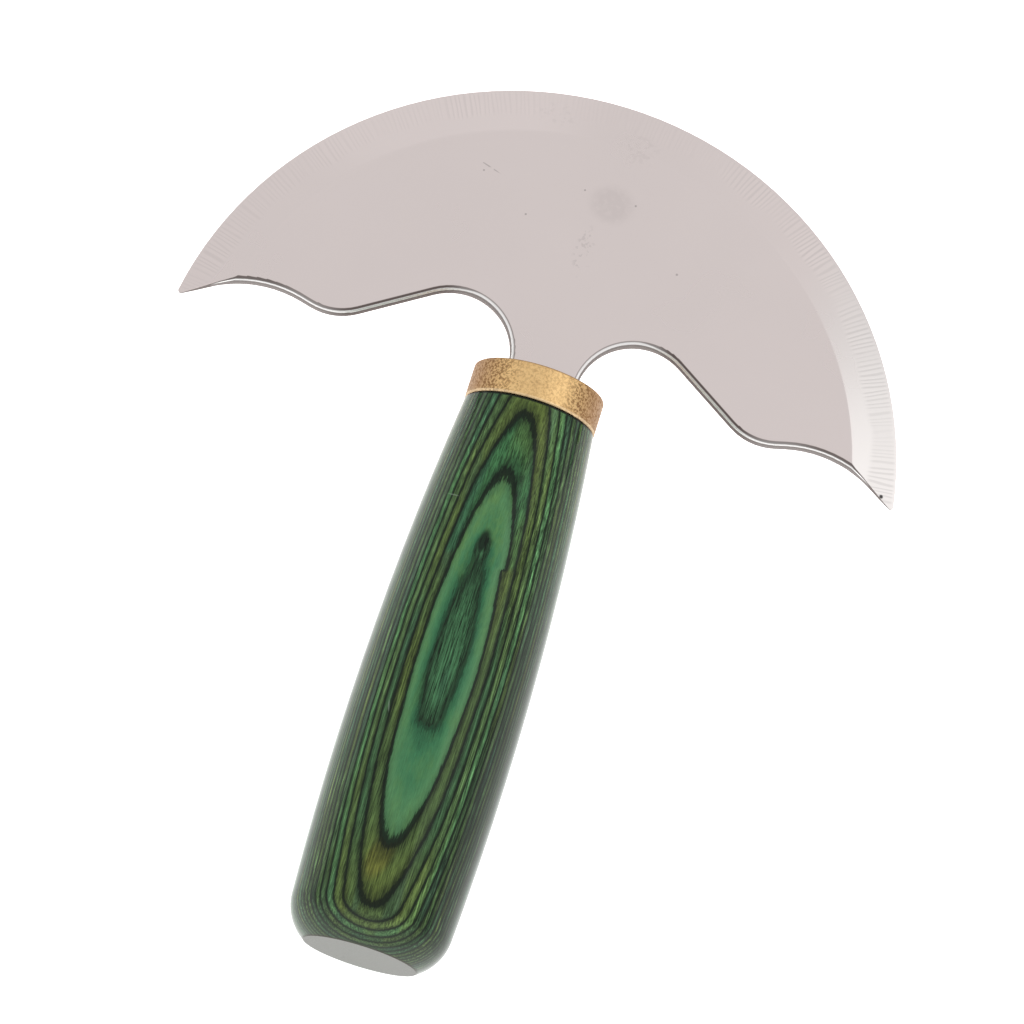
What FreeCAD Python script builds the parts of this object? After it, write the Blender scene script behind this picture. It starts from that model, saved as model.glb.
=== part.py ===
import FreeCAD, Part

import math
import os

from FreeCAD import Vector

# A leatherworker's round knife (head knife): a half-moon blade with a stick tang, glued into
# a turned handle of laminated wood behind a brass ferrule.
#
# Each piece is drawn in the knife's own coordinates and then laid down by one move:
#   x  across the blade, 0 on the handle's axis
#   y  along the handle, 0 at the butt, growing towards the cutting edge
#   z  square to the blade's faces, 0 on the handle's axis
# In the finished part +Y still runs towards the cutting edge, +X towards the blade's right
# point and +Z up. The origin is under the middle of the knife as it lies on its handle.
# All lengths are millimetres, all angles degrees.

# ---- Driving dimensions ----------------------------------------------------------------

OVERALL_LENGTH = 160.0        # butt face to the crown of the cutting edge

# Blade
EDGE_RADIUS = 66.0            # the cutting edge is one arc
BLADE_THICKNESS = 3.0
BEVEL_WIDTH = 8.0             # ground on both faces
EDGE_LAND = 0.16              # what is left of the thickness at the edge
BACK_EDGE_ROUND = 1.0         # softened edges of the blade's back
POINT_ROUND = 0.5             # the two points are blunted by this radius
NECK_HALF_WIDTH = 6.3

# Corners of the blade's back, right half: across, along, and the radius each is rounded to.
FINGER_NOTCH = (NECK_HALF_WIDTH, 126.6, 10.5)
BACK_HUMP = (38.0, 106.2, 10.7)
BACK_SCALLOP = (53.0, 110.2, 20.5)
POINT_LINE_END = (67.0, 101.3)   # the back runs straight to here, past the edge's arc

# Tang
TANG_WIDTH = 8.0
TANG_TIP_WIDTH = 5.0
TANG_LENGTH = 68.0            # behind the blade's shoulders
TANG_HOLE_RADIUS = 4.8
TANG_HOLE_SPARE = 2.5         # the hole is this much deeper than the tang

# Handle
BARREL_RADIUS = 15.0          # at the fullest place
BARREL_FULLEST = 38.0         # how far from the butt that is
BARREL_CURVE_RADIUS = 580.0   # the long arc of the barrel's side
HANDLE_SHOULDER = 99.4        # where the barrel stops and the ferrule's tenon starts
BUTT_FACE_RADIUS = 10.0
BUTT_ROUND_LENGTH = 7.0       # of the curve between the butt face and the barrel
SHOULDER_CHAMFER = 0.15

# Ferrule
FERRULE_GAP = 0.16            # hairline between the wood's shoulder and the ferrule
FERRULE_LENGTH = 6.3
FERRULE_RADIUS = 11.8
FERRULE_WALL = 1.6
FERRULE_TOP_ROUND = 0.4
FERRULE_BOTTOM_CHAMFER = 0.2
TENON_RECESS = 0.5            # the tenon's end lies this much inside the ferrule

# Laminations: flat veneers, nearly parallel to the blade's faces
VENEER_COUNT = 40
VENEER_PITCH = 0.77           # measured straight up
FIRST_JOINT_HEIGHT = 15.75    # height of the first glue joint over the butt's centre
RISE_ACROSS = 0.026           # how much the joints climb for each unit of x
FALL_ALONG = 0.022            # how much they sink for each unit of y

# ---- Worked out from those -------------------------------------------------------------

EDGE_CENTRE = Vector(0, OVERALL_LENGTH - EDGE_RADIUS, 0)
FERRULE_START = HANDLE_SHOULDER + FERRULE_GAP
FERRULE_END = FERRULE_START + FERRULE_LENGTH
FERRULE_BORE_RADIUS = FERRULE_RADIUS - FERRULE_WALL
TENON_END = FERRULE_END - TENON_RECESS
TANG_END = TENON_END - TANG_LENGTH
HOLE_BOTTOM = TANG_END - TANG_HOLE_SPARE
ALL_ROUND = 400.0             # larger than the knife, for cutting tools
SAME_PLACE = 0.001            # points closer than this are the same point
AXIS_ALONG = Vector(0, 1, 0)
LAID_DOWN = Vector(0, -OVERALL_LENGTH / 2, BARREL_RADIUS)


# ---- Helpers ---------------------------------------------------------------------------

def flat_face(edges):
    return Part.Face(Part.Wire(edges))


def polygon_face(points):
    return Part.Face(Part.makePolygon(points + points[:1]))


def rounded_line(start, corners, end):
    """Straight edges from start to end by way of the corners, each (x, y, radius), with
    every corner rounded by an arc that meets its two lines smoothly."""
    stops = [Vector(*start, 0)] + [Vector(x, y, 0) for x, y, _ in corners] + [Vector(*end, 0)]
    edges = []
    here = stops[0]
    for index, (_, _, radius) in enumerate(corners, start=1):
        corner = stops[index]
        back = (stops[index - 1] - corner).normalize()
        ahead = (stops[index + 1] - corner).normalize()
        half_angle = back.getAngle(ahead) / 2
        reach = radius / math.tan(half_angle)
        middle = (back + ahead).normalize()
        arc_start = corner + back * reach
        arc_end = corner + ahead * reach
        arc_middle = corner + middle * (radius / math.sin(half_angle) - radius)
        edges.append(Part.LineSegment(here, arc_start).toShape())
        edges.append(Part.Arc(arc_start, arc_middle, arc_end).toShape())
        here = arc_end
    edges.append(Part.LineSegment(here, stops[-1]).toShape())
    return edges


def turned(profile):
    """Solid of revolution about the handle's axis."""
    return profile.revolve(Vector(0, 0, 0), AXIS_ALONG, 360)


def laid_down(shape):
    return shape.translated(LAID_DOWN)


# ---- Blade -----------------------------------------------------------------------------

def back_of_plate(side):
    """Edges of the blade's back on one side (+1 right, -1 left), from the neck outwards."""
    out, low = POINT_LINE_END
    corners = [(side * x, y, radius) for x, y, radius in (FINGER_NOTCH, BACK_HUMP, BACK_SCALLOP)]
    return rounded_line((side * NECK_HALF_WIDTH, HANDLE_SHOULDER), corners, (side * out, low))


def blade_plate():
    """The plate with its back cut to shape and softened, still too large at the edge."""
    out, low = POINT_LINE_END
    top = OVERALL_LENGTH + BEVEL_WIDTH
    right = back_of_plate(1)
    left = back_of_plate(-1)
    corners = [Vector(out, low, 0), Vector(out, top, 0), Vector(-out, top, 0), Vector(-out, low, 0)]
    outside = [Part.LineSegment(a, b).toShape() for a, b in zip(corners, corners[1:])]
    foot = [Vector(-NECK_HALF_WIDTH, HANDLE_SHOULDER, 0), Vector(NECK_HALF_WIDTH, HANDLE_SHOULDER, 0)]
    foot_edge = Part.LineSegment(*foot).toShape()
    outline = Part.Wire(Part.__sortEdges__(right + outside + left + [foot_edge]))
    plate = Part.Face(outline).extrude(Vector(0, 0, BLADE_THICKNESS))
    plate.translate(Vector(0, 0, -BLADE_THICKNESS / 2))
    return plate.makeFillet(BACK_EDGE_ROUND, back_face_edges(plate, right + left))


def back_face_edges(plate, back):
    """The plate's edges that follow the back's outline, on both faces."""
    heights = (-BLADE_THICKNESS / 2, BLADE_THICKNESS / 2)
    middles = [edge.valueAt((edge.FirstParameter + edge.LastParameter) / 2) for edge in back]
    wanted = []
    for edge in plate.Edges:
        middle = edge.valueAt((edge.FirstParameter + edge.LastParameter) / 2)
        for height in heights:
            if any((middle - Vector(0, 0, height) - spot).Length < SAME_PLACE for spot in middles):
                wanted.append(edge)
    return wanted


def edge_grind():
    """A disc that thins over the bevel's width: what the grinding of the edge leaves."""
    full = BLADE_THICKNESS
    land = EDGE_LAND / 2
    bevel_start = EDGE_RADIUS - BEVEL_WIDTH
    profile = polygon_face([
        Vector(0, 0, -full),
        Vector(bevel_start, 0, -full),
        Vector(bevel_start, 0, -BLADE_THICKNESS / 2),
        Vector(EDGE_RADIUS, 0, -land),
        Vector(EDGE_RADIUS, 0, land),
        Vector(bevel_start, 0, BLADE_THICKNESS / 2),
        Vector(bevel_start, 0, full),
        Vector(0, 0, full),
    ])
    disc = profile.revolve(Vector(0, 0, 0), Vector(0, 0, 1), 360)
    return disc.translated(EDGE_CENTRE)


def point_trim(side):
    """What is cut from one point of the blade to blunt it."""
    scallop = Vector(*BACK_SCALLOP[:2], 0)
    along_back = (Vector(*POINT_LINE_END, 0) - scallop).normalize()
    into_blade = Vector(-along_back.y, along_back.x, 0)
    # The blunting arc's centre is one radius inside the back's line and inside the edge's arc.
    offset = scallop + into_blade * POINT_ROUND - EDGE_CENTRE
    inner = EDGE_RADIUS - POINT_ROUND
    passed = offset.dot(along_back)
    run = math.sqrt(passed ** 2 - offset.Length ** 2 + inner ** 2) - passed
    centre = EDGE_CENTRE + offset + along_back * run
    on_back = centre - into_blade * POINT_ROUND
    to_edge = (centre - EDGE_CENTRE).normalize()
    on_edge = centre + to_edge * POINT_ROUND
    reach = POINT_ROUND * 4
    wedge = polygon_face([
        centre,
        on_back,
        on_back - into_blade * reach,
        centre + (to_edge - into_blade) * reach + along_back * reach,
        on_edge + to_edge * reach,
        on_edge,
    ]).extrude(Vector(0, 0, 2 * BLADE_THICKNESS))
    wedge.translate(Vector(0, 0, -BLADE_THICKNESS))
    post = Part.makeCylinder(POINT_ROUND, 2 * BLADE_THICKNESS, centre - Vector(0, 0, BLADE_THICKNESS))
    trim = wedge.cut(post)
    if side > 0:
        return trim
    return trim.mirror(Vector(0, 0, 0), Vector(1, 0, 0))


def tang():
    """Tapered stick behind the blade, of the blade's own thickness."""
    overlap = BACK_EDGE_ROUND
    stick = polygon_face([
        Vector(-TANG_WIDTH / 2, TENON_END + overlap, 0),
        Vector(-TANG_WIDTH / 2, TENON_END, 0),
        Vector(-TANG_TIP_WIDTH / 2, TANG_END, 0),
        Vector(TANG_TIP_WIDTH / 2, TANG_END, 0),
        Vector(TANG_WIDTH / 2, TENON_END, 0),
        Vector(TANG_WIDTH / 2, TENON_END + overlap, 0),
    ]).extrude(Vector(0, 0, BLADE_THICKNESS))
    return stick.translated(Vector(0, 0, -BLADE_THICKNESS / 2))


def blade():
    shape = blade_plate().common(edge_grind())
    shape = shape.cut([point_trim(1), point_trim(-1)])
    behind_shoulders = Part.makeBox(
        4 * NECK_HALF_WIDTH,
        TENON_END,
        4 * BLADE_THICKNESS,
        Vector(-2 * NECK_HALF_WIDTH, 0, -2 * BLADE_THICKNESS),
    )
    shape = shape.cut(behind_shoulders)
    return shape.fuse(tang()).removeSplitter()


# ---- Handle ----------------------------------------------------------------------------

def barrel_radius(along):
    """Radius of the turned barrel at a distance from the butt."""
    off = along - BARREL_FULLEST
    return BARREL_RADIUS - BARREL_CURVE_RADIUS + math.sqrt(BARREL_CURVE_RADIUS ** 2 - off ** 2)


def barrel_point(along):
    return Vector(barrel_radius(along), along, 0)


def butt_curve():
    """Arc from the butt face's rim that runs smoothly into the barrel."""
    rim = Vector(BUTT_FACE_RADIUS, 0, 0)
    meet = barrel_point(BUTT_ROUND_LENGTH)
    barrel_centre = Vector(BARREL_RADIUS - BARREL_CURVE_RADIUS, BARREL_FULLEST, 0)
    inward = (barrel_centre - meet).normalize()
    chord = rim - meet
    radius = chord.dot(chord) / (2 * chord.dot(inward))
    centre = meet + inward * radius
    halfway = (rim + meet) * 0.5
    middle = centre + (halfway - centre).normalize() * radius
    return Part.Arc(rim, middle, meet).toShape()


def turned_handle():
    """The whole handle as it comes off the lathe, tenon and all."""
    shoulder = barrel_radius(HANDLE_SHOULDER)
    barrel_end = barrel_point(HANDLE_SHOULDER - SHOULDER_CHAMFER)
    barrel_mid = barrel_point((BUTT_ROUND_LENGTH + barrel_end.y) / 2)
    chamfer_end = Vector(shoulder - SHOULDER_CHAMFER, HANDLE_SHOULDER, 0)
    stops = [
        chamfer_end,
        Vector(FERRULE_BORE_RADIUS, HANDLE_SHOULDER, 0),
        Vector(FERRULE_BORE_RADIUS, TENON_END, 0),
        Vector(0, TENON_END, 0),
        Vector(0, 0, 0),
        Vector(BUTT_FACE_RADIUS, 0, 0),
    ]
    edges = [
        butt_curve(),
        Part.Arc(barrel_point(BUTT_ROUND_LENGTH), barrel_mid, barrel_end).toShape(),
        Part.LineSegment(barrel_end, chamfer_end).toShape(),
    ]
    edges += [Part.LineSegment(a, b).toShape() for a, b in zip(stops, stops[1:])]
    return turned(flat_face(edges))


def tang_hole():
    return Part.makeCylinder(
        TANG_HOLE_RADIUS,
        TENON_END - HOLE_BOTTOM,
        Vector(0, HOLE_BOTTOM, 0),
        AXIS_ALONG,
    )


def veneer_layer(number):
    """The slab between two glue joints; the first and last slabs are open-ended."""
    top = ALL_ROUND / 2
    if number > 1:
        top = FIRST_JOINT_HEIGHT - VENEER_PITCH * (number - 2)
    bottom = -ALL_ROUND / 2
    if number < VENEER_COUNT:
        bottom = FIRST_JOINT_HEIGHT - VENEER_PITCH * (number - 1)
    half = ALL_ROUND / 2
    corners = [
        Vector(x, y, bottom + RISE_ACROSS * x - FALL_ALONG * y)
        for x, y in ((-half, -half), (half, -half), (half, half), (-half, half))
    ]
    return polygon_face(corners).extrude(Vector(0, 0, top - bottom))


def veneer(number, block):
    return block.common(veneer_layer(number)).Solids[0]


# ---- Ferrule and glue ------------------------------------------------------------------

def ferrule():
    inner = FERRULE_BORE_RADIUS
    outer = FERRULE_RADIUS
    bottom = FERRULE_START
    top = FERRULE_END
    soft = FERRULE_TOP_ROUND
    chamfer = FERRULE_BOTTOM_CHAMFER
    diagonal = soft * math.sqrt(0.5)
    round_centre = Vector(outer - soft, top - soft, 0)
    stops = [
        Vector(outer - soft, top, 0),
        Vector(inner, top, 0),
        Vector(inner, bottom, 0),
        Vector(outer - chamfer, bottom, 0),
        Vector(outer, bottom + chamfer, 0),
        Vector(outer, top - soft, 0),
    ]
    edges = [Part.LineSegment(a, b).toShape() for a, b in zip(stops, stops[1:])]
    edges.append(Part.Arc(stops[-1], round_centre + Vector(diagonal, diagonal, 0), stops[0]).toShape())
    return turned(flat_face(edges))


def tang_epoxy(knife_blade):
    """The glue that fills the drilled hole around the tang."""
    return tang_hole().cut(knife_blade)


# ---- The whole knife -------------------------------------------------------------------

def build():
    knife_blade = blade()
    block = turned_handle().cut(tang_hole())
    pieces = {
        "blade": knife_blade,
        "ferrule": ferrule(),
        "tang_epoxy": tang_epoxy(knife_blade),
    }
    for number in range(1, VENEER_COUNT + 1):
        pieces[f"veneer_{number:02d}"] = veneer(number, block)
    os.makedirs("parts", exist_ok=True)
    for name, shape in pieces.items():
        laid_down(shape).exportStep(f"parts/{name}.step")
        print(name, shape.isValid(), round(shape.Volume, 2))


build()
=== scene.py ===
import math

import bpy
from mathutils import Matrix, Vector


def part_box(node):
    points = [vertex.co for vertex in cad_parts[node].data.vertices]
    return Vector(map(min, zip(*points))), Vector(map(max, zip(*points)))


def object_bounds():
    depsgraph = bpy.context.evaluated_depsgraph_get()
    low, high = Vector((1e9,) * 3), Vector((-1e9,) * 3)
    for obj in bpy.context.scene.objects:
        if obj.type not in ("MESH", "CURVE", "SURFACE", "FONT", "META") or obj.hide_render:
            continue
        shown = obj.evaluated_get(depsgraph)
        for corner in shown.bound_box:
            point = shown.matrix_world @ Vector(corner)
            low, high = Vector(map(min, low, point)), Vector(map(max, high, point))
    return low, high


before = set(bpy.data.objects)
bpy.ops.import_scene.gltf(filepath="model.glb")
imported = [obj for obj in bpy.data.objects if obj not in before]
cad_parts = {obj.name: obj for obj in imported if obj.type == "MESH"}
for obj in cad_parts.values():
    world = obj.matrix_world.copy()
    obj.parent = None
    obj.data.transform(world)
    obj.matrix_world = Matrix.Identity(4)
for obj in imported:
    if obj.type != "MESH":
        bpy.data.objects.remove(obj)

cad_low, cad_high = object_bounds()

# A leatherworker's round knife: half-moon steel blade, brass ferrule, turned handle of
# laminated dyed wood. Lengths in the scene are metres; patterns are worked out in the
# knife's own millimetres: x across the blade, y along the handle from the butt, z over its
# axis.

MM = 0.001
BUTT = cad_low.y
AXIS_HEIGHT = sum(corner.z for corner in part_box("ferrule")) / 2
FERRULE_LOW, FERRULE_HIGH = ((corner.y - BUTT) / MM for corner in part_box("ferrule"))
SHOULDER = FERRULE_LOW - 0.16
CROWN = (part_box("blade")[1].y - BUTT) / MM
EDGE_RADIUS = 66.0
EDGE_CENTRE = CROWN - EDGE_RADIUS
BEVEL_WIDTH = 8.0
HALF_THICKNESS = 1.5
HALF_EDGE_LAND = 0.08
BEVEL_SLOPE = (HALF_THICKNESS - HALF_EDGE_LAND) / BEVEL_WIDTH

# The veneers: how thick they are, where the first glue joint lies over the butt's centre,
# and how the joints lean.
VENEER_PITCH = 0.77
FIRST_JOINT = 15.75
RISE_ACROSS = 0.026
FALL_ALONG = 0.022


# ---- Writing materials as expressions --------------------------------------------------

class Value:
    """A socket of a material that can be used like a number."""

    def __init__(self, finish, socket):
        self.finish = finish
        self.socket = socket

    def math(self, operation, *numbers):
        inputs = dict(enumerate(numbers))
        return self.finish.node("ShaderNodeMath", {"operation": operation}, inputs)

    def __add__(self, other):
        return self.math("ADD", self, other)

    def __sub__(self, other):
        return self.math("SUBTRACT", self, other)

    def __rsub__(self, other):
        return self.math("SUBTRACT", other, self)

    def __mul__(self, other):
        return self.math("MULTIPLY", self, other)

    def __truediv__(self, other):
        return self.math("DIVIDE", self, other)

    __radd__ = __add__
    __rmul__ = __mul__

    def floor(self):
        return self.math("FLOOR", self)

    def wrapped(self, span):
        return self.math("FLOORED_MODULO", self, span)

    def least(self, other):
        return self.math("MINIMUM", self, other)

    def most(self, other):
        return self.math("MAXIMUM", self, other)

    def root(self):
        return self.math("SQRT", self)

    def size(self):
        """The number without its sign."""
        return self.math("ABSOLUTE", self)

    def sine(self):
        return self.math("SINE", self)

    def near(self, target, reach):
        """1 within reach of the target, 0 elsewhere."""
        return self.math("COMPARE", self, target, reach)

    def ease(self, start, end):
        """0 before start, 1 after end, smooth between; end may be below start."""
        inputs = {"Value": self, "From Min": min(start, end), "From Max": max(start, end)}
        inputs["To Min"], inputs["To Max"] = (0.0, 1.0) if end > start else (1.0, 0.0)
        return self.finish.node("ShaderNodeMapRange", {"interpolation_type": "SMOOTHSTEP"}, inputs)


class Finish:
    """A material being written. Its coordinates are the knife's own millimetres."""

    def __init__(self, name):
        self.material = bpy.data.materials.new(name)
        self.material.use_nodes = True
        self.tree = self.material.node_tree
        self.tree.nodes.clear()
        place = self.node("ShaderNodeTexCoord", output="Object")
        split = self.node("ShaderNodeSeparateXYZ", inputs={"Vector": place}, output=None)
        self.x = Value(self, split.outputs["X"]) / MM
        self.y = (Value(self, split.outputs["Y"]) - BUTT) / MM
        self.z = (Value(self, split.outputs["Z"]) - AXIS_HEIGHT) / MM

    def node(self, kind, settings=None, inputs=None, output=0):
        """Adds a node: settings first, then its sockets' values or links. Gives the wanted
        output, or the node itself when output is None."""
        made = self.tree.nodes.new(kind)
        for name, setting in (settings or {}).items():
            if name == "stops":
                self.set_stops(made.color_ramp, setting)
            else:
                setattr(made, name, setting)
        for name, value in (inputs or {}).items():
            if isinstance(value, Value):
                self.tree.links.new(value.socket, made.inputs[name])
            else:
                made.inputs[name].default_value = value
        return made if output is None else Value(self, made.outputs[output])

    @staticmethod
    def set_stops(ramp, colours):
        """Equal bands, one for each colour."""
        ramp.interpolation = "CONSTANT"
        while len(ramp.elements) < len(colours):
            ramp.elements.new(1.0)
        for index, colour in enumerate(colours):
            ramp.elements[index].position = index / len(colours)
            ramp.elements[index].color = (*colour, 1.0)

    def point(self, x, y, z):
        return self.node("ShaderNodeCombineXYZ", inputs={"X": x, "Y": y, "Z": z})

    def noise(self, across, along, detail=2.0, roughness=0.5, shift=0.0):
        """Noise from 0 to 1 with so many features to a millimetre across and along the
        grain; shift moves it, so that two noises differ."""
        place = self.point(self.x * across + shift, self.y * along, self.z * across)
        return self.noise_at(place, detail, roughness)

    def noise_at(self, place, detail=2.0, roughness=0.5):
        inputs = {"Vector": place, "Scale": 1.0, "Detail": detail, "Roughness": roughness}
        return self.node("ShaderNodeTexNoise", {"noise_dimensions": "3D"}, inputs)

    def spot(self, x, y, wide, long, lean=0.0):
        """1 in the middle of an oval spot, falling to 0 at its rim. wide and long are its
        half-lengths, lean the degrees its wide axis is turned anticlockwise."""
        turn = math.radians(lean)
        right = self.x - x
        up = self.y - y
        across = (right * math.cos(turn) + up * math.sin(turn)) / wide
        along = (up * math.cos(turn) - right * math.sin(turn)) / long
        return (across * across + along * along).root().ease(1.0, 0.45)

    def mix(self, share, first, second, blend="MIX"):
        """Colours mixed by share; a tuple is a plain colour."""
        settings = {"data_type": "RGBA", "blend_type": blend}
        first, second = (c if isinstance(c, Value) else (*c, 1.0) for c in (first, second))
        return self.node("ShaderNodeMix", settings, {0: share, 6: first, 7: second}, output=2)

    def shaded(self, colour, factor):
        """The colour made lighter or darker by a factor that varies."""
        grey = self.point(factor, factor, factor)
        return self.mix(1.0, colour, grey, "MULTIPLY")

    def bump(self, height_mm):
        """A normal for relief whose height is given in millimetres."""
        inputs = {"Height": height_mm * MM, "Distance": 1.0, "Strength": 1.0}
        return self.node("ShaderNodeBump", inputs=inputs)

    def surface(self, **sockets):
        """The finished surface, with the shader's own sockets named with underscores."""
        inputs = {name.replace("_", " "): value for name, value in sockets.items()}
        for name, value in inputs.items():
            if isinstance(value, tuple):
                inputs[name] = (*value, 1.0)
        shader = self.node("ShaderNodeBsdfPrincipled", inputs=inputs)
        self.node("ShaderNodeOutputMaterial", inputs={"Surface": shader}, output=None)
        return self.material


# ---- Handle ----------------------------------------------------------------------------

DEEP_GREEN = (0.062, 0.180, 0.080)
BRIGHT_GREEN = (0.098, 0.262, 0.110)
OLIVE = (0.092, 0.160, 0.052)
LEAF_GREEN = (0.068, 0.160, 0.068)
MOSS = (0.092, 0.172, 0.062)
FRESH_GREEN = (0.058, 0.188, 0.072)
LIME = (0.150, 0.290, 0.070)
SPRING_GREEN = (0.096, 0.230, 0.090)
BRIGHT_OLIVE = (0.145, 0.195, 0.040)
GREY_GREEN = (0.074, 0.148, 0.062)
DARK_GREEN = (0.050, 0.112, 0.048)

# Dyes from the upper side of the handle downwards; below the last one they start again.
VENEER_DYES = [
    DEEP_GREEN, BRIGHT_GREEN, OLIVE, LEAF_GREEN, MOSS, SPRING_GREEN, GREY_GREEN, MOSS,
    DARK_GREEN, LEAF_GREEN, OLIVE, GREY_GREEN, LEAF_GREEN, MOSS, DARK_GREEN, GREY_GREEN,
]
YELLOW_STAIN = (0.170, 0.190, 0.022)
AMBER_STAIN = (0.200, 0.165, 0.024)
TEAL_STAIN = (0.040, 0.110, 0.078)
SEA_GREEN = (0.040, 0.190, 0.088)
# Black of the resin joints, used also for painted shade on the wood below the ferrule.
JOINT_AND_SHADE_BLACK = (0.005, 0.010, 0.006)
CORNER_GREY = (0.120, 0.140, 0.115)
END_GREY = (0.085, 0.074, 0.064)
SCUFF = (0.500, 0.600, 0.500)
LACQUER_INDEX = 1.26

# Where the pieced veneer is spliced, and where a knot bulges the uppermost joint.
SPLICE = 68.0
KNOT = (-0.6, 71.4)


class Lamination:
    """Where the surface lies in the stack of veneers, and the grain of the wood there."""

    def __init__(self, wood):
        self.across = wood.x.size()
        self.fibre = wood.noise(3.2, 0.24, detail=3.0, roughness=0.65) - 0.5
        self.hatch = wood.noise(7.5, 0.75, detail=2.0, roughness=0.6, shift=160.0) - 0.5
        self.layer = (FIRST_JOINT - self.depth(wood)) / VENEER_PITCH + 1.0
        self.number = self.layer.floor()
        self.within = self.layer - self.number
        self.from_joint = self.within.least(1.0 - self.within) * VENEER_PITCH
        self.calm = self.number.near(1.0, 0.1)
        self.streaky = 1.0 - self.calm
        along_veneer = self.number * 9.7 + 120.0
        self.streak = wood.noise(4.4, 0.11, detail=4.0, roughness=0.7, shift=along_veneer)
        self.lower_right = wood.x.ease(5.0, 10.0) * wood.y.ease(80.0, 45.0)

    def depth(self, wood):
        """Height in the stack, in millimetres: the joints lean, bow, and bulge at knots."""
        bow = (wood.noise(0.12, 0.045, detail=1.0) - 0.5) * 0.30
        knots = wood.spot(*KNOT, 1.9, 3.4) * 0.14 - wood.spot(-0.6, 34.0, 3.4, 6.5) * 0.13
        leaning = wood.z - wood.x * RISE_ACROSS + wood.y * FALL_ALONG
        return leaning + bow + self.fibre * 0.20 + knots + self.splice_step(wood)

    def splice_step(self, wood):
        """Right of the middle the veneer is pieced: its joint steps where the pieces meet."""
        near_side = wood.x.ease(2.0, 3.0) * wood.x.ease(5.7, 4.9)
        pieced = near_side * wood.y.ease(58.0, 66.0) * wood.y.ease(80.0, 71.0)
        ragged_y = wood.y + self.fibre * 0.8
        return (ragged_y.ease(SPLICE - 0.3, SPLICE + 0.6) * 0.22 - 0.11) * pieced


def dyed_veneers(wood, stack):
    """The dye of each veneer. The second is calm, bluer next to the first and sunned in
    places. The third is pieced: olive up to the splice, amber low down, and green beyond
    the splice, where the fourth is bright olive. From the third on they go yellow in
    patches, the upper ones near the butt as well, and all but the second go teal here and
    there."""
    share = (stack.number + 0.5).wrapped(float(len(VENEER_DYES))) / len(VENEER_DYES)
    dye = wood.node("ShaderNodeValToRGB", {"stops": VENEER_DYES}, {"Fac": share})
    third = stack.number.near(2.0, 0.1)
    fourth = stack.number.near(3.0, 0.1)
    dye = wood.mix(stack.within.ease(0.75, 0.10) * stack.calm * 0.85, dye, SEA_GREEN)
    dye = wood.mix(wood.y.ease(SPLICE, SPLICE + 1.6) * third, dye, FRESH_GREEN)
    dye = wood.mix(wood.y.ease(55.0, SPLICE) * fourth * 0.6, dye, BRIGHT_OLIVE)

    sunned = wood.noise(0.42, 0.16, detail=4.0, roughness=0.6, shift=200.0).ease(0.42, 0.68)
    lime_share = sunned * stack.calm * (0.20 + wood.y.ease(58.0, 76.0) * 0.25)
    dye = wood.mix(lime_share, dye, LIME)

    patch = wood.noise(0.22, 0.035, detail=1.0, shift=stack.number * 5.3 + 80.0)
    low_down = wood.y.ease(24.0, 9.0) * wood.y.ease(0.5, 3.0) * stack.number.ease(5.5, 3.5)
    stain = (patch.ease(0.50, 0.68) * 0.26 + low_down * 0.34) * stack.streaky
    dye = wood.mix(stain * stack.number.ease(0.5, 1.0), dye, YELLOW_STAIN)
    amber_share = wood.spot(-1.4, 14.6, 2.6, 5.6, lean=-14.0) * third * 0.42
    dye = wood.mix(amber_share, dye, AMBER_STAIN)
    return wood.mix(patch.ease(0.44, 0.32) * stack.streaky * 0.40, dye, TEAL_STAIN)


def dark_grain(wood, stack):
    """How strongly the grain has taken the black, and how strongly it is left pale."""
    soaked = wood.noise(0.16, 0.035, detail=1.0, shift=280.0).ease(0.38, 0.66)
    soaked = soaked.most(stack.lower_right * 0.55 + wood.y.ease(34.0, 12.0) * 0.25)
    strength = (1.0 - stack.calm * 0.86) * (0.62 + soaked * 0.38)
    return stack.streak.ease(0.42, 0.64) * strength, stack.streak.ease(0.46, 0.34) * strength


def grained(wood, stack, dye, dark, pale):
    """The dye with its dark and pale streaks, darker low on the right side. The fifth and
    sixth veneers are of paler wood, most of all on the right."""
    speckle = stack.hatch * (1.0 - stack.calm * 0.40) * 0.9
    flanks = stack.across.ease(4.5, 9.5)
    shade = 1.0 - dark * 0.86 + pale * (0.50 + flanks * 0.90) + speckle
    shadow = stack.lower_right * wood.x.ease(9.0, 13.0) * 0.45
    paler = stack.number.near(4.5, 0.6) * (0.12 + wood.x.ease(2.0, 5.0) * 0.35)
    return wood.shaded(dye, shade.most(0.08) * (1.0 - shadow) * (1.0 + paler))


def glue_joints(wood, stack):
    """Black resin in each joint, and the wood it has soaked into: two masks. A cut that
    runs nearly flat through the joint shows it in broad flames."""
    loop_ends = stack.across.ease(4.5, 1.5) * wood.y.ease(74.0, 84.0).most(wood.y.ease(34.0, 20.0))
    reach = (stack.across * 0.012).least(0.085) + 0.068
    reach = reach + loop_ends * 0.035 + stack.lower_right * 0.03
    ragged = stack.hatch * 0.12 + (stack.streak - 0.5) * 0.07
    joint = (stack.from_joint + ragged) / reach
    line = joint.ease(1.25, 0.40) * (0.95 - stack.layer.near(1.0, 0.4) * 0.25)
    soft = joint.ease(2.8, 0.4) * (0.62 - stack.calm * 0.25)
    return line, soft


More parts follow.
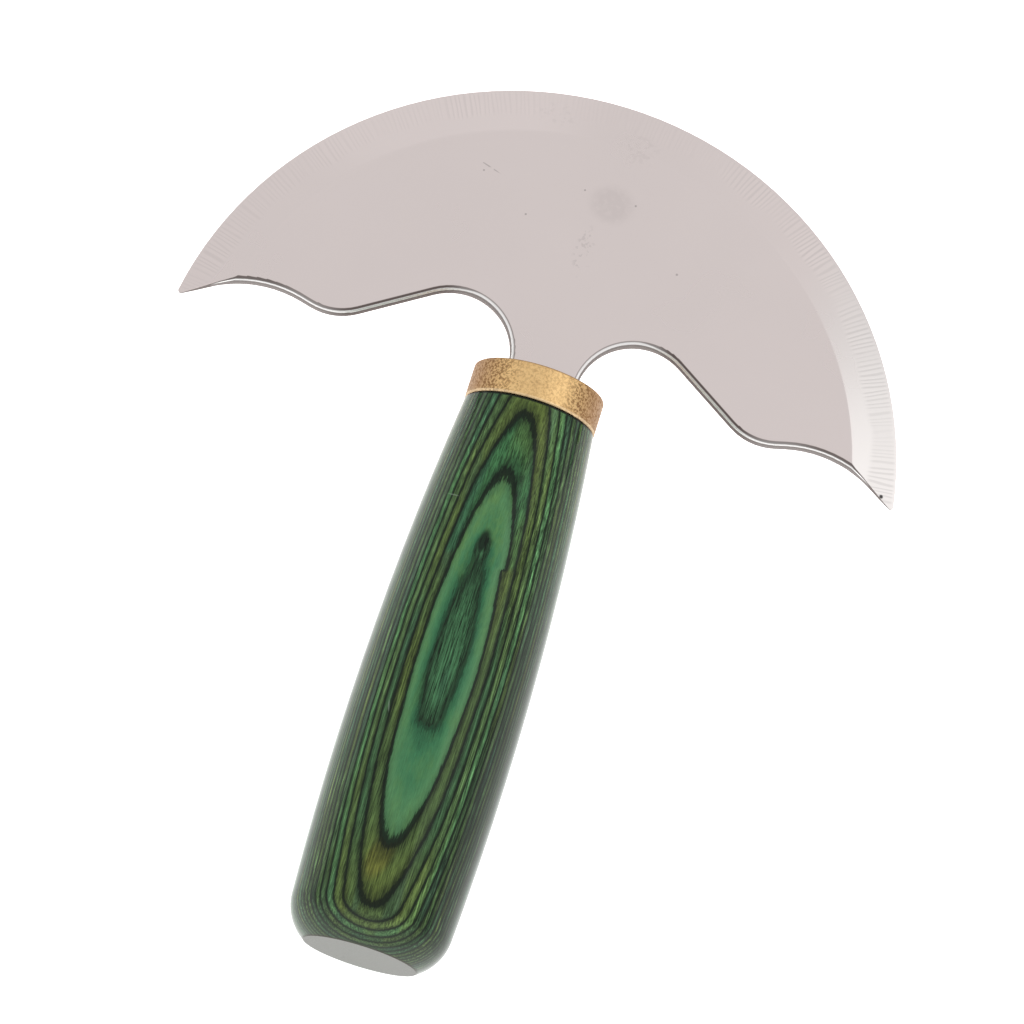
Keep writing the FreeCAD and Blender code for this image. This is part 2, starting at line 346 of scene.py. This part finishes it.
def wear(wood, colour):
    """A grey rounded corner, a greyer flat butt with one dent, and two pale scuffs."""
    colour = wood.mix(wood.y.ease(7.0, 1.5) * 0.28, colour, CORNER_GREY)
    colour = wood.mix(wood.y.ease(0.30, 0.05) * 0.75, colour, END_GREY)
    right = wood.x + 2.7
    up = wood.z + 5.1
    dent = ((right * right + up * up).root() / 0.45).ease(1.0, 0.3) * wood.y.ease(0.3, 0.1)
    colour = wood.mix(dent * 0.8, colour, JOINT_AND_SHADE_BLACK)
    crosswise = wood.spot(-8.1, 79.2, 1.3, 0.14, lean=-8.0)
    lengthwise = wood.spot(-7.6, 40.0, 0.16, 1.4, lean=14.0)
    scuffs = crosswise.most(lengthwise) * wood.z.ease(0.0, 1.0)
    return wood.mix(scuffs * 0.22, colour, SCUFF)


def laminated_wood():
    """Dyed veneers glued face to face and turned to a barrel under clear lacquer."""
    wood = Finish("lacquered_laminated_wood")
    stack = Lamination(wood)
    dark, pale = dark_grain(wood, stack)
    dye = grained(wood, stack, dyed_veneers(wood, stack), dark, pale)

    line, soft = glue_joints(wood, stack)
    # Painted shade: a black ring on the wood just below the ferrule, where the gap under its lip
    # is in shadow.
    below_shoulder = wood.y.ease(SHOULDER - 0.55, SHOULDER - 0.25)
    shoulder_shade = below_shoulder * wood.y.ease(SHOULDER + 0.4, SHOULDER + 0.1)
    knot_heart = wood.spot(KNOT[0] - 0.1, KNOT[1] + 0.6, 1.3, 3.0, lean=-6.0) * 0.90
    # The black: resin joints, the knot's heart, and the painted shade below the ferrule.
    black = soft.most(line).most(shoulder_shade).most(knot_heart)
    colour = wear(wood, wood.mix(black, dye, JOINT_AND_SHADE_BLACK))

    ripple = wood.noise(0.5, 0.3, detail=1.0, shift=240.0) * 0.012
    pores = stack.streak * 0.004
    dull_butt = wood.y.ease(0.30, 0.05) * (0.30 + line * 0.12)
    return wood.surface(
        Base_Color=colour,
        Roughness=0.5 + dark * 0.2,
        Normal=wood.bump(ripple + pores),
        Specular_IOR_Level=0.0,
        Coat_Weight=1.0 - dull_butt,
        Coat_Roughness=0.10,
        Coat_IOR=LACQUER_INDEX,
    )


# ---- Blade -----------------------------------------------------------------------------

STEEL = (0.772, 0.690, 0.674)
# Painted highlight: paler, less pink steel for the bevel towards the right point.
HIGHLIT_STEEL = (0.772, 0.735, 0.718)
# Painted highlight: the bright band along the rounded back edge.
EDGE_HIGHLIGHT_WHITE = (0.960, 0.940, 0.930)
# Painted reflection: brown for the dark bands mirrored in the rounded back edge.
EDGE_REFLECTION_BROWN = (0.110, 0.082, 0.074)
STRIATION_PITCH = 0.86
# Pits in the face: across, along, radius.
PITS = [
    (-11.3, 134.8, 0.26), (-2.6, 142.3, 0.24), (17.3, 132.2, 0.28), (-20.7, 140.4, 0.24),
    (6.8, 142.2, 0.26),
]


def grinding_marks(steel, radius, around):
    """Fine radial lines over the outer part of the bevel, in clusters, deepest towards the
    points but fainter at the upper left: how deep they are, and where they lie."""
    from_edge = EDGE_RADIUS - radius
    uneven = steel.noise_at(steel.point(around * 0.11, 3.0, 0.0), detail=2.0)
    wander = steel.noise_at(steel.point(around * 0.30, radius * 0.05, 9.0), detail=1.0)
    beat = ((around + wander * 2.4) * (2.0 * math.pi / STRIATION_PITCH)).sine()
    scratched = (from_edge - uneven * 3.0).ease(3.7, 2.5) * from_edge.ease(0.05, 0.8)
    clusters = 0.3 + uneven.ease(0.35, 0.62)
    to_the_side = steel.x.size().ease(12.0, 38.0) * 0.8 + 0.2
    upper_left = steel.x.ease(-20.0, -40.0) * steel.y.ease(106.0, 120.0)
    strength = clusters * to_the_side * (1.0 - upper_left * 0.6)
    return (beat.ease(-0.2, 1.0) - 0.25) * scratched * strength, scratched


def face_stains(steel):
    """Smudges, specks, a scratch and pits: how much darker they make the steel."""
    mottle = steel.noise(1.1, 1.1, detail=3.0, shift=60.0)
    smudge = steel.spot(2.7, 141.1, 5.0, 4.4) * (mottle.ease(0.20, 0.6) * 0.6 + 0.4)
    trail = steel.spot(0.4, 131.3, 2.2, 6.0, lean=4.0) * mottle.ease(0.53, 0.62)
    haze = steel.spot(-11.5, 154.6, 5.0, 3.0) * mottle.ease(0.50, 0.65)
    upper_haze = steel.spot(4.6, 152.5, 4.5, 4.0) * mottle.ease(0.50, 0.62)
    scratch = steel.spot(-19.8, 141.3, 2.7, 0.16, lean=-17.0) * mottle.ease(0.35, 0.5)
    pits = sum(steel.spot(x, y, size, size) for x, y, size in PITS)
    dot = steel.spot(62.7, 104.4, 0.45, 0.45)
    hazes = (haze + upper_haze) * 0.05
    return smudge * 0.09 + trail * 0.13 + hazes + scratch * 0.3 + pits * 0.34 + dot * 0.85


def edge_reflection_lines(steel, drop, from_edge):
    """Painted reflections: brown lines along the rounded edges of the blade's back, one
    above and one below a bright band, and brown points, standing in for dark
    surroundings mirrored there. They shift with the way the back faces."""
    away = steel.x.size()
    facing_butt = away.ease(19.0, 14.0)
    sloping = away.ease(17.0, 21.0) * away.ease(41.0, 35.0)
    scallop = away.ease(44.0, 51.0)
    upper_end = drop + facing_butt * 0.16 + sloping * 0.03
    upper_line = drop.ease(0.004, 0.04) * upper_end.ease(0.30, 0.18)
    lower_line = (drop + facing_butt * 0.12 - sloping * 0.12).ease(0.40, 0.54)
    point_back = drop.ease(0.03, 0.10) * from_edge.ease(6.5, 4.5)
    upper = upper_line * (0.74 + scallop * 0.16 + sloping * 0.22)
    lower = lower_line * (0.84 + sloping * 0.10)
    return upper.most(lower).most(point_back * 0.9)


def ground_steel():
    """Satin polished steel with a bevel ground across the edge by a coarse wheel. The bevel
    has painted highlights: a little paler at the upper left, palest towards the right point."""
    steel = Finish("ground_steel")
    rise = steel.y - EDGE_CENTRE
    radius = (steel.x * steel.x + rise * rise).root()
    around = rise.math("ARCTAN2", rise, steel.x) * EDGE_RADIUS
    from_edge = EDGE_RADIUS - radius
    marks, scratched = grinding_marks(steel, radius, around)
    hair_place = steel.point(around * 5.0, radius * 0.25, 7.0)
    hair = (steel.noise_at(hair_place, detail=2.0) - 0.5) * scratched

    # How far the rounded back edge has dropped below the face or the bevel.
    bevel_drop = (BEVEL_WIDTH - from_edge).most(0.0) * BEVEL_SLOPE
    drop = HALF_THICKNESS - bevel_drop - steel.z.size()
    # Painted reflections in brown lines along the rounded back edge.
    painted_edge_reflection = edge_reflection_lines(steel, drop, from_edge)

    cloud = steel.noise(0.05, 0.05, detail=3.0, shift=20.0) - 0.5
    dirt = face_stains(steel)
    bevel = from_edge.ease(BEVEL_WIDTH + 0.4, BEVEL_WIDTH - 0.4)
    # Painted highlight: the bevel a little paler at the upper left, as if it caught more light.
    painted_bevel_sheen = bevel * steel.y.ease(128.0, 142.0) * steel.x.ease(-2.0, -16.0) * 0.05
    shade = 1.0 + cloud * 0.04 - dirt - marks * 0.11 + hair * 0.05 + painted_bevel_sheen
    # Painted highlight: the bevel paler and less pink towards the right point.
    steel_and_highlight = steel.mix(bevel * steel.x.ease(35.0, 58.0), STEEL, HIGHLIT_STEEL)
    colour = steel.shaded(steel_and_highlight, shade)
    # Painted highlight: the rounded back edge painted near white, as a bright reflection.
    colour = steel.mix(drop.ease(0.02, 0.10), colour, EDGE_HIGHLIGHT_WHITE)
    # Painted reflections: brown bands laid over the rounded back edge.
    colour = steel.mix(painted_edge_reflection, colour, EDGE_REFLECTION_BROWN)
    smooth = 0.28 + cloud * 0.05 + dirt * 0.5 + scratched * 0.06
    return steel.surface(
        Base_Color=colour,
        Metallic=1.0 - painted_edge_reflection * 0.85,
        Specular_IOR_Level=0.0,
        Roughness=smooth + drop.ease(0.01, 0.1) * 0.12,
        Normal=steel.bump(marks * -0.004 + hair * 0.002),
    )


# ---- Ferrule ---------------------------------------------------------------------------

BRASS = (0.830, 0.540, 0.240)
# Paler brass of worn blotches, used also for a painted highlight along the ferrule's top.
WORN_AND_HIGHLIT_BRASS = (0.920, 0.630, 0.300)
# Brown of tarnish specks, used also for painted shade on the ferrule's top rim.
TARNISH_AND_RIM_SHADE = (0.260, 0.135, 0.055)
# Brown of the mottled patina, used also for painted shade on the ferrule's flanks.
PATINA_AND_FLANK_SHADE = (0.285, 0.160, 0.086)
# Painted highlight for the ferrule's rim next to the handle.
RIM_HIGHLIGHT = (1.000, 0.800, 0.520)


def aged_brass():
    """Brass that has been handled: paler in worn blotches, brown in its pits, with painted
    highlights along its top and lower rim and painted shade on its flanks and top rim.
    """
    brass = Finish("aged_brass")
    blotch = brass.noise(0.40, 0.40, detail=3.0, shift=5.0)
    speck = brass.noise(2.3, 2.3, detail=3.0, roughness=0.65, shift=30.0)
    # Painted highlight: a paler strip with fewer dark specks, along the top centre only.
    top_highlight = brass.x.ease(-8.0, -2.0) * brass.x.ease(7.5, 4.5) * brass.z.ease(0.0, 3.0)
    flank_shade = brass.x.size().ease(5.0, 11.0)
    mottle = brass.noise(1.3, 1.3, detail=3.0, roughness=0.6, shift=60.0)
    worn_and_highlit = (blotch.ease(0.35, 0.65) + top_highlight * 0.8).least(1.0)
    dark_speck = speck.ease(0.46, 0.58) * (1.0 - top_highlight * 0.72)
    low_rim_highlight = brass.y.ease(FERRULE_LOW + 0.54, FERRULE_LOW + 0.24)
    top_rim_shade = brass.y.ease(FERRULE_HIGH - 0.41, FERRULE_HIGH - 0.11)
    worn_and_highlit_share = (worn_and_highlit * 0.55 + mottle.ease(0.40, 0.62) * 0.35).least(1.0)
    colour = brass.mix(worn_and_highlit_share, BRASS, WORN_AND_HIGHLIT_BRASS)
    colour = brass.mix(mottle.ease(0.46, 0.32) * (0.55 - top_highlight * 0.25), colour, PATINA_AND_FLANK_SHADE)
    # Painted shade: the ferrule's flanks browned, and made less metallic below.
    colour = brass.mix(flank_shade * 0.8, colour, PATINA_AND_FLANK_SHADE)
    # Tarnish specks, and painted shade along the rounded top rim.
    colour = brass.mix((dark_speck * 0.88).most(top_rim_shade * 0.8), colour, TARNISH_AND_RIM_SHADE)
    # Painted highlight: a bright line along the ferrule's rim next to the handle.
    colour = brass.mix(low_rim_highlight * 0.45, colour, RIM_HIGHLIGHT)
    return brass.surface(
        Base_Color=colour,
        Metallic=1.0 - (dark_speck * 0.4).most(flank_shade * 0.55),
        Specular_IOR_Level=0.1,
        Roughness=0.42 + dark_speck * 0.2,
        Normal=brass.bump(speck * 0.010 + blotch * 0.03),
    )


# ---- Glue ------------------------------------------------------------------------------

DARK_AMBER = (0.200, 0.115, 0.035)
AMBER = (0.260, 0.165, 0.060)


def cured_epoxy():
    """Amber glue around the tang."""
    glue = Finish("cured_epoxy")
    cloud = glue.noise(0.4, 0.4, detail=3.0)
    return glue.surface(
        Base_Color=glue.mix(cloud, DARK_AMBER, AMBER),
        Roughness=0.25 + cloud * 0.2,
        Normal=glue.bump(cloud * 0.02),
        IOR=1.55,
    )


def finish_nodes():
    """Gives each CAD piece its finish."""
    wood = laminated_wood()
    finishes = {"blade": ground_steel(), "ferrule": aged_brass(), "tang_epoxy": cured_epoxy()}
    for name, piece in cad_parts.items():
        piece.data.materials.clear()
        piece.data.materials.append(finishes.get(name, wood))


# ---- Studio ----------------------------------------------------------------------------

TABLE_SIZE = 6.0
TABLE_WHITE = (0.9, 0.9, 0.9)
TABLE_GLOW = 1.0
TENT_GLOW = 0.8
WHITE = (1.0, 1.0, 1.0)
SOFT_BOX_PLACE = Vector((0.55, 0.30, 0.78))
SOFT_BOX_SIZE = 0.5
SOFT_BOX_POWER = 0.5

LENS = 167.3
CAMERA_PLACE = Vector((0.02296, BUTT - 0.14172, AXIS_HEIGHT + 0.79422))
# Degrees about x, y and z.
CAMERA_TURNS = (15.749, 1.505, 17.439)


def light_table():
    """White floor, softly lit from beneath."""
    white = bpy.data.materials.new("white_table")
    white.use_nodes = True
    shader = white.node_tree.nodes["Principled BSDF"]
    shader.inputs["Base Color"].default_value = (*TABLE_WHITE, 1.0)
    shader.inputs["Roughness"].default_value = 0.9
    shader.inputs["Specular IOR Level"].default_value = 0.0
    shader.inputs["Emission Color"].default_value = (*WHITE, 1.0)
    shader.inputs["Emission Strength"].default_value = TABLE_GLOW
    bpy.ops.object.select_all(action="DESELECT")
    bpy.ops.mesh.primitive_plane_add(size=TABLE_SIZE, location=(0, 0, cad_low.z))
    floor = bpy.context.object
    floor.name = "floor"
    floor.data.materials.append(white)


def tent_of_light():
    """Even white light from all round."""
    world = bpy.data.worlds.new("tent")
    world.use_nodes = True
    bpy.context.scene.world = world
    background = world.node_tree.nodes["Background"]
    background.inputs["Color"].default_value = (*WHITE, 1.0)
    background.inputs["Strength"].default_value = TENT_GLOW


def soft_box():
    """A square lamp high on the right that faces the knife."""
    lamp = bpy.data.lights.new("right_soft_box", "AREA")
    lamp.shape = "SQUARE"
    lamp.size = SOFT_BOX_SIZE
    lamp.energy = SOFT_BOX_POWER
    holder = bpy.data.objects.new("right_soft_box", lamp)
    bpy.context.scene.collection.objects.link(holder)
    holder.location = SOFT_BOX_PLACE
    holder.rotation_euler = (-SOFT_BOX_PLACE).to_track_quat("-Z", "Y").to_euler()


def camera():
    """Looks down on the knife from above its butt, a little to the right."""
    lens = bpy.data.cameras.new("camera")
    lens.sensor_width = 36.0
    lens.lens = LENS
    lens.clip_start = 0.05
    holder = bpy.data.objects.new("camera", lens)
    bpy.context.scene.collection.objects.link(holder)
    lean, sway, roll = (math.radians(turn) for turn in CAMERA_TURNS)
    tilt = Matrix.Rotation(sway, 4, "Y") @ Matrix.Rotation(lean, 4, "X")
    holder.matrix_world = Matrix.Translation(CAMERA_PLACE) @ tilt @ Matrix.Rotation(roll, 4, "Z")
    bpy.context.scene.camera = holder


finish_nodes()
light_table()
tent_of_light()
soft_box()
camera()
bpy.context.scene.view_settings.view_transform = "Standard"
